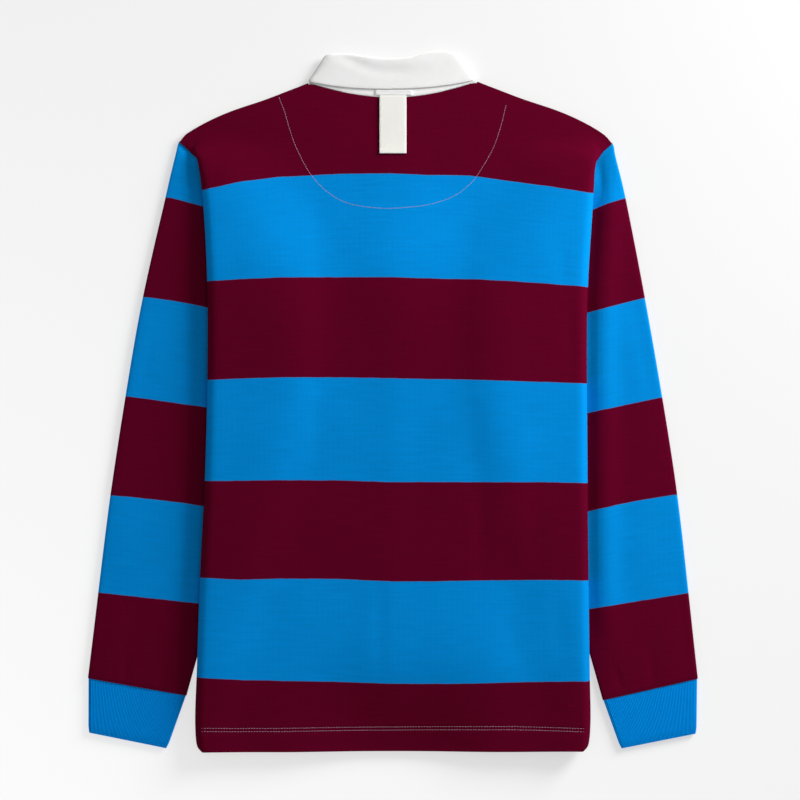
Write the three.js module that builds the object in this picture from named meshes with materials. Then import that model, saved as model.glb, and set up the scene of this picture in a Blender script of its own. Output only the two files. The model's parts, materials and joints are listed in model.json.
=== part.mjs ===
// A long-sleeved rugby shirt laid flat on its front, with its sides and sleeves tucked under.
// Millimetres. +Z is up from the surface it lies on and +Y runs from the hem to the collar.
// Every cloth piece is a wall worked out from the sheet that runs through its middle.
import * as THREE from 'three';

// Cloth
const cloth = 1.5;
const seamGap = 0.3;
const ply = cloth + seamGap;
const restHeight = cloth / 2;

// Body, across and up from its middle
const neckHalfWidth = 90;
const neckColumn = 0.44;
const rowDroop = 3.5;
const sideSeam = 121;
const underarmHeight = 58;
const armholeBend = 1.6;
const frontNeckDepth = 88;
const topHem = { left: 339, right: 340.6, middle: 323.4 };

// How high the middle of each sheet lies
const coveredSleeve = restHeight + cloth + 0.6;
const openSleeve = 4.8;
const cuffHeight = 4.9;
const backMiddle = 4.75;
const frontBelowBack = 4.0;
const foldedBelowBack = 2.1;
const foldRadius = 6;
const frontRamp = 48;
const backRamp = 105;
const crown = { height: 6.5, x: 8, halfWidth: 125, foot: -374, footTop: -300, head: 150, headTop: 225 };
const sleeveLift = coveredSleeve + ply - restHeight + 0.25;
const seamHeight = 4.65;

// Collar, placket and trims
const collarAxis = 3.77;
const collarInnerRadius = 0.98;
const collarPly = 1.9;
const collarSpring = 1.5;
const collarPad = 2.04;
const placketWidth = 32;
const placketTop = 246;
const placketLength = 138;
const placketThickness = 1.2;
const placketPad = 3.4;
const collarPadHalf = 108;
const padFade = 30;
const buttonRadius = 6.5;
const buttonThickness = 1.6;
const buttonSteps = [28, 70, 112];
const tab = { left: -14.1, right: 14.6, top: 325.4, bottom: 263.6, thickness: 1.6 };
const tabRoot = { left: -18.4, right: 21, top: 331.3, bottom: 325.8, thickness: 0.9 };
const ribCount = 44;
const ribHeight = 0.35;

// Rows of the body from the hem up: where each side fold lies, and the middle of back and front
const bodyRows = [
  { name: 'hem', leftX: -203.5, leftY: -372.5, rightX: 203.6, rightY: -371.6, back: -372.8, front: -372.8 },
  { name: 'hem turn', leftX: -209.9, leftY: -365, rightX: 209.8, rightY: -364, back: -365.4, front: -365.4 },
  { name: 'hoop 6', leftX: -208.5, leftY: -290.7, rightX: 209.8, rightY: -296.6, back: -299.8, front: -299.8 },
  { name: 'hoop 5', leftX: -205.3, leftY: -186.4, rightX: 208.5, rightY: -190.3, back: -191.1, front: -191.1 },
  { name: 'hoop 4', leftX: -200, leftY: -84.7, rightX: 207.5, rightY: -87, back: -85.7, front: -85.7 },
  { name: 'hoop 3', leftX: -197.3, leftY: 22.4, rightX: 206.9, rightY: 18.5, back: 24.5, front: 24.5 },
  { name: 'hoop 2', leftX: -197.3, leftY: 126.4, rightX: 207.4, rightY: 120.7, back: 131.4, front: 122 },
  { name: 'hoop 1', leftX: -203.1, leftY: 224.2, rightX: 214.3, rightY: 221, back: 242.3, front: 192 },
  { name: 'armhole foot', leftX: -207.9, leftY: 256.7, rightX: 215.4, rightY: 256.7, back: 276, front: 220 },
];
const shoulderEnd = { leftX: -227, leftY: 277.6, rightX: 232.2, rightY: 277.6 };
// How far the shoulder line rises over a straight one, by the share of its way from the neck
const shoulderRises = [
  { share: 0, rise: 0 },
  { share: 0.37, rise: 2.4 },
  { share: 0.57, rise: 6.8 },
  { share: 0.78, rise: 7.6 },
  { share: 0.95, rise: 4.2 },
  { share: 1, rise: 0 },
];
const shoulderFade = { below: 6, above: 24 };
const rowsPerStep = 2;
const rowsAboveFoot = 6;

// Rows of each sleeve from the armhole down: outer edge, inner edge, and a bend at the armhole's foot
const sleeveRows = {
  left: [
    { name: 'armhole', outerX: -227.2, outerY: 277.5, bendX: -208.3, bendY: 256.4, innerX: -121, innerY: 72 },
    { name: 'cap', outerX: -234.6, outerY: 248, bendX: -212, bendY: 222, innerX: -122, innerY: 45 },
    { name: 'hoop 1', outerX: -242.2, outerY: 217.3, innerX: -126, innerY: 15 },
    { name: 'hoop 2', outerX: -267, outerY: 110.8, innerX: -137, innerY: -28 },
    { name: 'hoop 3', outerX: -285.2, outerY: 5.3, innerX: -152, innerY: -80 },
    { name: 'hoop 4', outerX: -301.7, outerY: -100.6, innerX: -170, innerY: -146 },
    { name: 'hoop 5', outerX: -314.4, outerY: -203.4, innerX: -193, innerY: -224 },
    { name: 'cuff seam', outerX: -325.3, outerY: -295.2, innerX: -219.1, innerY: -314 },
  ],
  right: [
    { name: 'armhole', outerX: 232.4, outerY: 277.5, bendX: 215.8, bendY: 256.4, innerX: 121, innerY: 72 },
    { name: 'cap', outerX: 240.2, outerY: 248, bendX: 219.5, bendY: 222, innerX: 122, innerY: 45 },
    { name: 'hoop 1', outerX: 248.4, outerY: 216.2, innerX: 126, innerY: 15 },
    { name: 'hoop 2', outerX: 269.2, outerY: 110.2, innerX: 137, innerY: -28 },
    { name: 'hoop 3', outerX: 287.8, outerY: 4.3, innerX: 152, innerY: -80 },
    { name: 'hoop 4', outerX: 304.1, outerY: -99.6, innerX: 170, innerY: -146 },
    { name: 'hoop 5', outerX: 316, outerY: -205.5, innerX: 195, innerY: -224 },
    { name: 'cuff seam', outerX: 325.6, outerY: -295.6, innerX: 223.4, innerY: -319 },
  ],
};
const armholeColumn = 0.28;
const gatherTop = -236;
const gatherLength = 60;
const sleeveShares = [0, 0.09, 0.18, armholeColumn, 0.4, 0.52, 0.64, 0.76, 0.88, 1];
const cuffRows = {
  left: [
    { name: 'seam', outerX: -324.3, outerY: -295.8, innerX: -220.2, innerY: -314.2 },
    { name: 'palm', outerX: -324.8, outerY: -325, innerX: -230.5, innerY: -344 },
    { name: 'wrist', outerX: -324.5, outerY: -354.1, innerX: -240.4, innerY: -371.2 },
  ],
  right: [
    { name: 'seam', outerX: 324.7, outerY: -296.2, innerX: 224.3, innerY: -319.2 },
    { name: 'palm', outerX: 323.4, outerY: -326, innerX: 236.5, innerY: -346 },
    { name: 'wrist', outerX: 324, outerY: -355.2, innerX: 243.1, innerY: -371.4 },
  ],
};

// Collar from the left front end round the back of the neck to the right front end.
// turn is the side that faces out: 1 is up, 0 is sideways at the fold, -1 is down.
const collarStations = [
  { name: 'left front end', seamX: -17.5, seamY: 254.5, rollX: -21, rollY: 285, edgeX: -46, edgeY: 205, turn: -1 },
  { name: 'left front', seamX: -55, seamY: 272.5, rollX: -46, rollY: 308, edgeX: -84, edgeY: 246, turn: -1 },
  { name: 'left under', seamX: -81, seamY: 318, rollX: -66, rollY: 354, edgeX: -96, edgeY: 306, turn: -1 },
  { name: 'left low', seamX: -85.4, seamY: 337, rollX: -72, rollY: 360.5, edgeX: -87.6, edgeY: 338, turn: -0.85 },
  { name: 'left fold', seamX: -87.6, seamY: 339.4, rollX: -71, rollY: 364, edgeX: -87.2, edgeY: 340, turn: 0 },
  { name: 'left high', seamX: -85.8, seamY: 338.4, rollX: -68, rollY: 367.2, edgeX: -85.4, edgeY: 339.3, turn: 0.92 },
  { name: 'left back', seamX: -56, seamY: 329.2, rollX: -43, rollY: 367.6, edgeX: -56, edgeY: 334.6, turn: 1 },
  { name: 'left of tab', seamX: -19, seamY: 324.3, rollX: -16, rollY: 363.4, edgeX: -19, edgeY: 332.4, turn: 1 },
  { name: 'right of tab', seamX: 19, seamY: 324.6, rollX: 17, rollY: 364, edgeX: 20, edgeY: 333, turn: 1 },
  { name: 'right back', seamX: 55, seamY: 331, rollX: 42, rollY: 371, edgeX: 56, edgeY: 336, turn: 1 },
  { name: 'right high', seamX: 85.6, seamY: 340.2, rollX: 65.5, rollY: 369.6, edgeX: 85.2, edgeY: 341.2, turn: 0.92 },
  { name: 'right fold', seamX: 87.2, seamY: 341.2, rollX: 69, rollY: 366, edgeX: 86.8, edgeY: 341.8, turn: 0 },
  { name: 'right low', seamX: 85, seamY: 338.8, rollX: 69, rollY: 363, edgeX: 87.2, edgeY: 339.8, turn: -0.85 },
  { name: 'right under', seamX: 81, seamY: 319, rollX: 64, rollY: 355, edgeX: 96, edgeY: 306, turn: -1 },
  { name: 'right front', seamX: 55, seamY: 272.5, rollX: 46, rollY: 308, edgeX: 84, edgeY: 246, turn: -1 },
  { name: 'right front end', seamX: 17.5, seamY: 254.5, rollX: 21, rollY: 285, edgeX: 46, edgeY: 205, turn: -1 },
];

// Soft folds raised in the cloth that faces up
const bodyFolds = [
  { x: 164, y: 111, angle: 91, length: 78, width: 12, height: 1.1 },
  { x: 121, y: -137, angle: 88, length: 56, width: 13, height: 0.8 },
  { x: 153, y: -252, angle: 118, length: 32, width: 10, height: 0.9 },
  { x: 198, y: -150, angle: 92, length: 84, width: 8, height: 0.6 },
  { x: -26, y: -246, angle: 91, length: 50, width: 14, height: 0.5 },
  { x: -164, y: -180, angle: 86, length: 120, width: 20, height: 0.5 },
];
const sleeveFolds = [
  { x: -262, y: 60, angle: 76, length: 80, width: 9, height: 0.6 },
  { x: -252, y: -150, angle: 60, length: 60, width: 9, height: 0.6 },
  { x: -302, y: -270, angle: 86, length: 26, width: 6, height: 0.9 },
  { x: -268, y: -280, angle: 72, length: 26, width: 6, height: 1.0 },
  { x: 262, y: 20, angle: 104, length: 80, width: 9, height: 0.6 },
  { x: 291, y: -255, angle: 98, length: 30, width: 8, height: 1.0 },
  { x: 306, y: -275, angle: 94, length: 26, width: 6, height: 0.8 },
  { x: 258, y: -284, angle: 108, length: 26, width: 6, height: 1.0 },
];

const colours = {
  maroon: 0x58001f, blue: 0x0082ce, white: 0xe9ebef, ecru: 0xebebe6, button: 0xdcdcd8,
};

const { lerp, smoothstep, clamp } = THREE.MathUtils;

// Heights of every sheet at a place on the table

function edgeAt(side, y) {
  const column = side < 0 ? 'left' : 'right';
  const rows = bodyRows;
  for (let i = 1; i < rows.length; i += 1) {
    const low = rows[i - 1];
    const high = rows[i];
    if (y <= high[`${column}Y`]) {
      const share = clamp((y - low[`${column}Y`]) / (high[`${column}Y`] - low[`${column}Y`]), 0, 1);
      return Math.abs(lerp(low[`${column}X`], high[`${column}X`], share));
    }
  }
  const foot = rows[rows.length - 1];
  const share = clamp((y - foot[`${column}Y`]) / (shoulderEnd[`${column}Y`] - foot[`${column}Y`]), 0, 1);
  return Math.abs(lerp(foot[`${column}X`], shoulderEnd[`${column}X`], share));
}

function footOf(side) {
  const foot = bodyRows[bodyRows.length - 1];
  return side < 0 ? foot.leftY : foot.rightY;
}

function seamAt(side, y) {
  const rise = clamp((y - underarmHeight) / (footOf(side) - underarmHeight), 0, 1);
  return lerp(sideSeam, edgeAt(side, Math.min(y, footOf(side))) - 2, rise ** armholeBend);
}

function sleeveInnerAt(side, y) {
  const rows = side < 0 ? sleeveRows.left : sleeveRows.right;
  for (let i = 2; i < rows.length; i += 1) {
    if (y >= rows[i].innerY) {
      const share = clamp((y - rows[i].innerY) / (rows[i - 1].innerY - rows[i].innerY), 0, 1);
      return Math.abs(lerp(rows[i].innerX, rows[i - 1].innerX, share));
    }
  }
  return Math.abs(rows[rows.length - 1].innerX);
}

function foldsAt(folds, x, y) {
  let rise = 0;
  for (const fold of folds) {
    const turn = THREE.MathUtils.degToRad(fold.angle);
    const along = (x - fold.x) * Math.cos(turn) + (y - fold.y) * Math.sin(turn);
    const across = (y - fold.y) * Math.cos(turn) - (x - fold.x) * Math.sin(turn);
    rise += fold.height * Math.exp(-((along / fold.length) ** 2) - (across / fold.width) ** 2);
  }
  return rise;
}

function sleeveLiftAt(x, y) {
  const inner = sleeveInnerAt(Math.sign(x) || 1, y);
  return sleeveLift * smoothstep(Math.abs(x), inner - 62, inner - 22);
}

function stackAt(x, y, rampWidth) {
  const side = Math.sign(x) || 1;
  const seam = seamAt(side, y);
  const top = smoothstep(y, footOf(side) - shoulderFade.below, footOf(side) + shoulderFade.above);
  const share = smoothstep(Math.abs(x), seam - rampWidth, seam + 2) * (1 - top);
  return share * (2 * foldRadius - (backMiddle - restHeight) + sleeveLiftAt(x, y));
}

function padAt(x, y) {
  const far = Math.abs(x);
  const overCollar = (1 - smoothstep(far, collarPadHalf, collarPadHalf + padFade)) * smoothstep(y, 168, 196);
  const beside = 1 - smoothstep(far, placketWidth / 2 + 6, placketWidth / 2 + padFade);
  const placketFoot = placketTop - placketLength;
  const below = smoothstep(y, placketFoot - 2 * padFade, placketFoot - padFade);
  const above = 1 - smoothstep(y, placketTop + padFade / 2, placketTop + 1.5 * padFade);
  return Math.max(collarPad * overCollar, placketPad * beside * below * above);
}

function frontHeight(x, y, shoulder) {
  const side = Math.sign(x) || 1;
  const seam = seamAt(side, y);
  const near = Math.max(smoothstep(Math.abs(x), seam - 44, seam - 3), shoulder);
  const drop = lerp(frontBelowBack, foldedBelowBack, near);
  return Math.max(backMiddle + stackAt(x, y, frontRamp) - drop, restHeight + padAt(x, y));
}

// Air under the back lifts its middle
function crownAt(x, y) {
  const beside = 1 - smoothstep(Math.abs(x - crown.x), 0, crown.halfWidth);
  const along = smoothstep(y, crown.foot, crown.footTop) * (1 - smoothstep(y, crown.head, crown.headTop));
  return crown.height * beside * along;
}

function backHeight(x, y, shoulder) {
  const folds = foldsAt(bodyFolds, x, y) * (1 - shoulder);
  const plain = backMiddle + stackAt(x, y, backRamp) + crownAt(x, y) + folds;
  return Math.max(plain, frontHeight(x, y, shoulder) + ply);
}

// A closed wall round a sheet of points. A ring closes on itself across.

function wall(sheet, { ring = false, thickness = cloth, raise = () => 0 } = {}) {
  const rows = sheet.length;
  const columns = sheet[0].length;
  const positions = [];
  const indices = [];
  const at = (i, j) => {
    const column = ring ? (j + columns) % columns : clamp(j, 0, columns - 1);
    return sheet[clamp(i, 0, rows - 1)][column];
  };
  for (let layer = 0; layer < 2; layer += 1) {
    for (let i = 0; i < rows; i += 1) {
      for (let j = 0; j < columns; j += 1) {
        const along = new THREE.Vector3().subVectors(at(i + 1, j), at(i - 1, j));
        const across = new THREE.Vector3().subVectors(at(i, j + 1), at(i, j - 1));
        const normal = new THREE.Vector3().crossVectors(across, along).normalize();
        const offset = layer === 0 ? thickness / 2 + raise(i, j) : -thickness / 2;
        const point = at(i, j).clone().addScaledVector(normal, offset);
        positions.push(point.x, point.y, point.z);
      }
    }
  }
  const id = (layer, i, j) => layer * rows * columns + i * columns + ((j + columns) % columns);
  const quad = (a, b, c, d) => indices.push(a, b, c, a, c, d);
  const lastColumn = ring ? columns : columns - 1;
  for (let i = 0; i < rows - 1; i += 1) {
    for (let j = 0; j < lastColumn; j += 1) {
      quad(id(0, i, j), id(0, i, j + 1), id(0, i + 1, j + 1), id(0, i + 1, j));
      quad(id(1, i, j), id(1, i + 1, j), id(1, i + 1, j + 1), id(1, i, j + 1));
    }
  }
  for (let j = 0; j < lastColumn; j += 1) {
    quad(id(1, 0, j), id(1, 0, j + 1), id(0, 0, j + 1), id(0, 0, j));
    quad(id(0, rows - 1, j), id(0, rows - 1, j + 1), id(1, rows - 1, j + 1), id(1, rows - 1, j));
  }
  if (!ring) {
    for (let i = 0; i < rows - 1; i += 1) {
      quad(id(0, i, 0), id(0, i + 1, 0), id(1, i + 1, 0), id(1, i, 0));
      quad(id(1, i, columns - 1), id(1, i + 1, columns - 1), id(0, i + 1, columns - 1), id(0, i, columns - 1));
    }
  }
  const geometry = new THREE.BufferGeometry();
  geometry.setAttribute('position', new THREE.Float32BufferAttribute(positions, 3));
  geometry.setIndex(indices);
  geometry.computeVertexNormals();
  return geometry;
}

function smooth(rows, xName, yName) {
  const points = rows.map((row) => new THREE.Vector3(row[xName], row[yName], 0));
  return new THREE.CatmullRomCurve3(points, false, 'centripetal');
}

function curvePoint(curve, rows, position) {
  return curve.getPoint(clamp(position / (rows.length - 1), 0, 1));
}

// Body panels

const halfColumns = [0.1, 0.21, 0.32, 0.4, neckColumn, 0.54, 0.65, 0.77, 0.89, 1];
const topColumns = [...halfColumns.map((u) => -u).reverse(), 0, ...halfColumns];
const foldShares = [0.2, 0.4, 0.6, 0.8, 1];
const flapShares = [0.35, 0.7, 1];
const armholeShares = [0.28, 0.54, 0.7, 0.8, 0.87, 0.92, 0.96, 1];
const frontDipEnd = 0.6;
const frontHemShort = 1.2;
const frontEdgeShare = -0.9;

function neckLine(x, panel) {
  const share = clamp(Math.abs(x) / neckHalfWidth, 0, 1);
  const side = x < 0 ? topHem.left : topHem.right;
  if (panel === 'front') {
    return side - frontNeckDepth * Math.sqrt(1 - share ** 2);
  }
  return lerp(topHem.middle, side, share ** 1.9) - seamGap;
}

function shoulderRise(share) {
  const next = Math.max(shoulderRises.findIndex((row) => row.share >= share), 1);
  const low = shoulderRises[next - 1];
  const high = shoulderRises[next];
  return lerp(low.rise, high.rise, (share - low.share) / (high.share - low.share));
}

function topLine(x, panel) {
  if (Math.abs(x) <= neckHalfWidth) {
    return neckLine(x, panel);
  }
  const left = x < 0;
  const endX = Math.abs(left ? shoulderEnd.leftX : shoulderEnd.rightX);
  const endY = left ? shoulderEnd.leftY : shoulderEnd.rightY;
  const share = Math.min((Math.abs(x) - neckHalfWidth) / (endX - neckHalfWidth), 1);
  return lerp(left ? topHem.left : topHem.right, endY, share) + shoulderRise(share);
}

// Above the folded side the edge only turns down to meet the sleeve
function armholeEdge(start, startHeight, end) {
  return armholeShares.map((share) => {
    const turn = Math.PI / 2 * share;
    const x = lerp(start.x, end.x, Math.sin(turn));
    const y = lerp(start.y, end.y, Math.sin(turn));
    const z = lerp(startHeight, end.z, 1 - Math.cos(turn));
    return new THREE.Vector3(x, y, z);
  });
}

// The distance from the middle to a column of a row, by how wide the row and its neck part are
function columnAt(share, half, neck) {
  return share <= neckColumn
    ? share / neckColumn * neck
    : lerp(neck, half, (share - neckColumn) / (1 - neckColumn));
}

function bodyPanel(panel) {
  const back = panel === 'back';
  const inset = back ? 0 : foldedBelowBack;
  const leftCurve = smooth(bodyRows, 'leftX', 'leftY');
  const rightCurve = smooth(bodyRows, 'rightX', 'rightY');
  const lastRow = bodyRows.length - 1;
  const heightOf = back ? backHeight : frontHeight;
  const sheet = [];

  const addRow = (leftEdge, rightEdge, backRow, middle, climb) => {
    const shoulder = smoothstep(climb, 0.45, 1);
    const place = (u) => {
      const edge = u < 0 ? leftEdge : rightEdge;
      const half = Math.abs(edge.x) - foldRadius - cloth / 2;
      const topEnd = u < 0 ? shoulderEnd.leftX : shoulderEnd.rightX;
      const topHalf = Math.abs(topEnd) - foldRadius - cloth / 2;
      const share = Math.abs(u);
      const x = Math.sign(u) * columnAt(share, half, lerp(neckColumn * half, neckHalfWidth, climb));
      const topX = Math.sign(u) * columnAt(share, topHalf, neckHalfWidth);
      const dip = (backRow - middle) * (1 - Math.min(share / frontDipEnd, 1) ** 2) ** 2;
      const level = lerp(backRow, edge.y, share ** rowDroop) - dip;
      return { x, y: lerp(level, topLine(topX, panel), climb) };
    };
    const sideOf = (side) => {
      const start = place(side);
      const startHeight = heightOf(start.x, start.y, shoulder);
      const radius = foldRadius - inset;
      if (climb > 0) {
        const edge = side < 0 ? leftEdge : rightEdge;
        const topY = side < 0 ? shoulderEnd.leftY : shoulderEnd.rightY;
        const endX = start.x + side * (back ? radius : radius * frontEdgeShare);
        const endY = back ? lerp(edge.y, topY, climb) : start.y;
        return armholeEdge(start, startHeight, new THREE.Vector3(endX, endY, seamHeight - inset));
      }
      const points = foldShares.map((share) => new THREE.Vector3(
        start.x + side * radius * Math.sin(Math.PI * share),
        start.y,
        startHeight - radius * (1 - Math.cos(Math.PI * share)),
      ));
      const last = points[points.length - 1];
      const flap = Math.max(Math.abs(start.x) - seamAt(side, start.y), 1.5);
      for (const share of flapShares) {
        const x = last.x - side * flap * share;
        const lie = sleeveLiftAt(x, start.y) - sleeveLiftAt(last.x, start.y);
        points.push(new THREE.Vector3(x, start.y, last.z + lie));
      }
      return points;
    };
    const top = topColumns.map((u) => {
      const spot = place(u);
      return new THREE.Vector3(spot.x, spot.y, heightOf(spot.x, spot.y, shoulder));
    });
    sheet.push([...sideOf(-1).reverse(), ...top, ...sideOf(1)]);
  };

  for (let step = 0; step <= lastRow * rowsPerStep; step += 1) {
    const position = step / rowsPerStep;
    const low = bodyRows[Math.floor(position)];
    const high = bodyRows[Math.min(Math.floor(position) + 1, lastRow)];
    const short = back ? 0 : frontHemShort * Math.max(0, 1 - position);
    const backRow = lerp(low.back, high.back, position % 1) + short;
    const middle = lerp(low[panel], high[panel], position % 1) + short;
    const leftEdge = curvePoint(leftCurve, bodyRows, position);
    const rightEdge = curvePoint(rightCurve, bodyRows, position);
    leftEdge.y += short;
    rightEdge.y += short;
    addRow(leftEdge, rightEdge, backRow, middle, 0);
  }
  const foot = bodyRows[lastRow];
  for (let step = 1; step <= rowsAboveFoot; step += 1) {
    const climb = step / rowsAboveFoot;
    const leftEdge = new THREE.Vector3(
      lerp(foot.leftX, shoulderEnd.leftX, climb), foot.leftY, 0,
    );
    const rightEdge = new THREE.Vector3(
      lerp(foot.rightX, shoulderEnd.rightX, climb), foot.rightY, 0,
    );
    addRow(leftEdge, rightEdge, foot.back, foot[panel], climb);
  }
  return wall(sheet);
}

// Sleeves and cuffs: a flattened tube from rows with an outer and an inner edge

function tube(table, { upperHeight, shares, stepsPerRow, raise }) {
  const rows = table.map((row) => ({
    bendX: lerp(row.outerX, row.innerX, armholeColumn),
    bendY: lerp(row.outerY, row.innerY, armholeColumn),
    ...row,
  }));
  const outer = smooth(rows, 'outerX', 'outerY');
  const bend = smooth(rows, 'bendX', 'bendY');
  const inner = smooth(rows, 'innerX', 'innerY');
  const sheet = [];
  const turns = [0.25, 0.5, 0.75];
  for (let step = 0; step <= (rows.length - 1) * stepsPerRow; step += 1) {
    const position = step / stepsPerRow;
    const from = curvePoint(outer, rows, position);
    const by = curvePoint(bend, rows, position);
    const to = curvePoint(inner, rows, position);
    const place = (share) => (share < armholeColumn
      ? from.clone().lerp(by, share / armholeColumn)
      : by.clone().lerp(to, (share - armholeColumn) / (1 - armholeColumn)));
    const margin = 3 / from.distanceTo(to);
    const line = shares.map((share) => {
      const spot = place(clamp(share, margin, 1 - margin));
      return spot.setZ(upperHeight(spot.x, spot.y));
    });
    const roundEnd = (spot, end, flip) => turns.map((share) => {
      const turn = Math.PI * (flip ? share : 1 - share);
      const radius = (spot.z - restHeight) / 2;
      const reach = Math.min(radius, end.distanceTo(new THREE.Vector3(spot.x, spot.y, 0)));
      const way = end.clone().setZ(0).sub(new THREE.Vector3(spot.x, spot.y, 0)).normalize();
      const point = new THREE.Vector3(spot.x, spot.y, restHeight + radius + radius * Math.cos(turn));
      return point.addScaledVector(way, reach * Math.sin(turn));
    });
    const lower = line.map((spot) => new THREE.Vector3(spot.x, spot.y, restHeight)).reverse();
    sheet.push([
      ...line,
      ...roundEnd(line[line.length - 1], to, true),
      ...lower,
      ...roundEnd(line[0], from, false),
    ]);
  }
  return wall(sheet, { ring: true, raise });
}

function sleeveHeight(x, y) {
  const side = Math.sign(x);
  const past = Math.abs(x) - edgeAt(side, y);
  const foot = footOf(side);
  const covered = (1 - smoothstep(past, 3, 22)) * (1 - smoothstep(y, foot - 4, foot + 30));
  const gather = 1 - smoothstep(y, gatherTop - gatherLength, gatherTop);
  const open = lerp(openSleeve, cuffHeight + seamGap, gather);
  return lerp(open + foldsAt(sleeveFolds, x, y), coveredSleeve, covered);
}

function sleeve(side) {
  return tube(sleeveRows[side], { upperHeight: sleeveHeight, shares: sleeveShares, stepsPerRow: 2 });
}

function cuff(side) {
  const shares = Array.from({ length: ribCount + 1 }, (unused, k) => lerp(0.03, 0.97, k / ribCount));
  return tube(cuffRows[side], {
    upperHeight: () => cuffHeight,
    shares,
    stepsPerRow: 1,
    raise: (i, j) => (j % 2 === 1 && j < ribCount ? ribHeight : 0),
  });
}

// Collar: a stand that leaves the neck seam, and a fall folded over it at the roll line

function collar() {
  const seam = smooth(collarStations, 'seamX', 'seamY');
  const roll = smooth(collarStations, 'rollX', 'rollY');
  const edge = smooth(collarStations, 'edgeX', 'edgeY');
  const sheet = [];
  const steps = (collarStations.length - 1) * 2;
  for (let step = 0; step <= steps; step += 1) {
    const position = step / 2;
    const low = collarStations[Math.floor(position)];
    const high = collarStations[Math.min(Math.floor(position) + 1, collarStations.length - 1)];
    const turn = lerp(low.turn, high.turn, position % 1) * Math.PI / 2;
    const from = curvePoint(seam, collarStations, position);
    if (turn > 1.4) {
      from.y = neckLine(from.x, 'back') + 2 * seamGap;
    }
    const top = curvePoint(roll, collarStations, position);
    const end = curvePoint(edge, collarStations, position);
    const way = top.clone().sub(from).normalize();
    const outwards = new THREE.Vector3(-way.y, way.x, 0);
    if (outwards.x * (from.x || 1) < 0) {
      outwards.negate();
    }
    const normal = outwards.multiplyScalar(Math.cos(turn)).setZ(Math.sin(turn));
    const spring = collarSpring * Math.max(0, Math.sin(turn));
    const spot = (plan, height) => {
      const point = plan.clone().addScaledVector(normal, collarInnerRadius + height);
      point.z += collarAxis;
      return point;
    };
    const line = [0, 0.35, 0.7, 1].map((share) => spot(from.clone().lerp(top, share), 0));
    const radius = (collarPly + spring) / 2;
    for (const share of [0.25, 0.5, 0.75]) {
      const turnOver = Math.PI * share;
      const plan = top.clone().addScaledVector(way, radius * Math.sin(turnOver));
      line.push(spot(plan, radius - radius * Math.cos(turnOver)));
    }
    for (const share of [0, 0.3, 0.65, 1]) {
      line.push(spot(top.clone().lerp(end, share), collarPly + spring * (1 - share) ** 2));
    }
    sheet.push(line);
  }
  return wall(sheet);
}

// Flat trims that follow what they lie on

function strip(box, thickness, heightAt, steps) {
  const sheet = [];
  for (let i = 0; i <= steps; i += 1) {
    const y = lerp(box.bottom, box.top, i / steps);
    sheet.push([0, 1 / 3, 2 / 3, 1].map((share) => {
      const x = lerp(box.left, box.right, share);
      return new THREE.Vector3(x, y, heightAt(x, y));
    }));
  }
  return wall(sheet, { thickness });
}

function onBack(thickness) {
  return (x, y) => Math.max(backHeight(x, y, 0), backMiddle) + cloth / 2 + seamGap + thickness / 2;
}

// Assembly

const shirt = new THREE.Group();

function add(name, geometry, colour, roughness = 0.9) {
  const material = new THREE.MeshStandardMaterial({ color: colour, roughness, metalness: 0 });
  const mesh = new THREE.Mesh(geometry, material);
  mesh.name = name;
  shirt.add(mesh);
  return mesh;
}

add('back', bodyPanel('back'), colours.maroon);
add('front', bodyPanel('front'), colours.maroon);
for (const side of ['left', 'right']) {
  add(`sleeve_${side}`, sleeve(side), colours.maroon);
  add(`cuff_${side}`, cuff(side), colours.blue);
}
add('collar', collar(), colours.white, 0.85);
add('neck_tab', strip(tab, tab.thickness, onBack(tab.thickness), 8), colours.ecru, 0.85);
add('tab_root', strip(tabRoot, tabRoot.thickness, onBack(tabRoot.thickness), 2), colours.white, 0.85);

const placketHeight = buttonThickness + seamGap + placketThickness / 2;
const placketBox = {
  left: -placketWidth / 2, right: placketWidth / 2, top: placketTop, bottom: placketTop - placketLength,
};
add('placket', strip(placketBox, placketThickness, () => placketHeight, 6), colours.white, 0.85);
buttonSteps.forEach((step, index) => {
  const disc = new THREE.CylinderGeometry(buttonRadius, buttonRadius, buttonThickness, 20);
  disc.rotateX(Math.PI / 2);
  const button = add(`button_${index + 1}`, disc, colours.button, 0.6);
  button.position.set(0, placketTop - step, buttonThickness / 2);
});

const box = new THREE.Box3().setFromObject(shirt);
shirt.position.set(-(box.min.x + box.max.x) / 2, -(box.min.y + box.max.y) / 2, 0);
shirt.updateMatrixWorld(true);

export default shirt;
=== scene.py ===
# A hooped rugby shirt laid flat on its front, seen from straight above. Its sides fold under and lie over
# the sleeves
import json
import math

import bpy
import numpy as np
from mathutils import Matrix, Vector, noise
from mathutils.bvhtree import BVHTree

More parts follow.
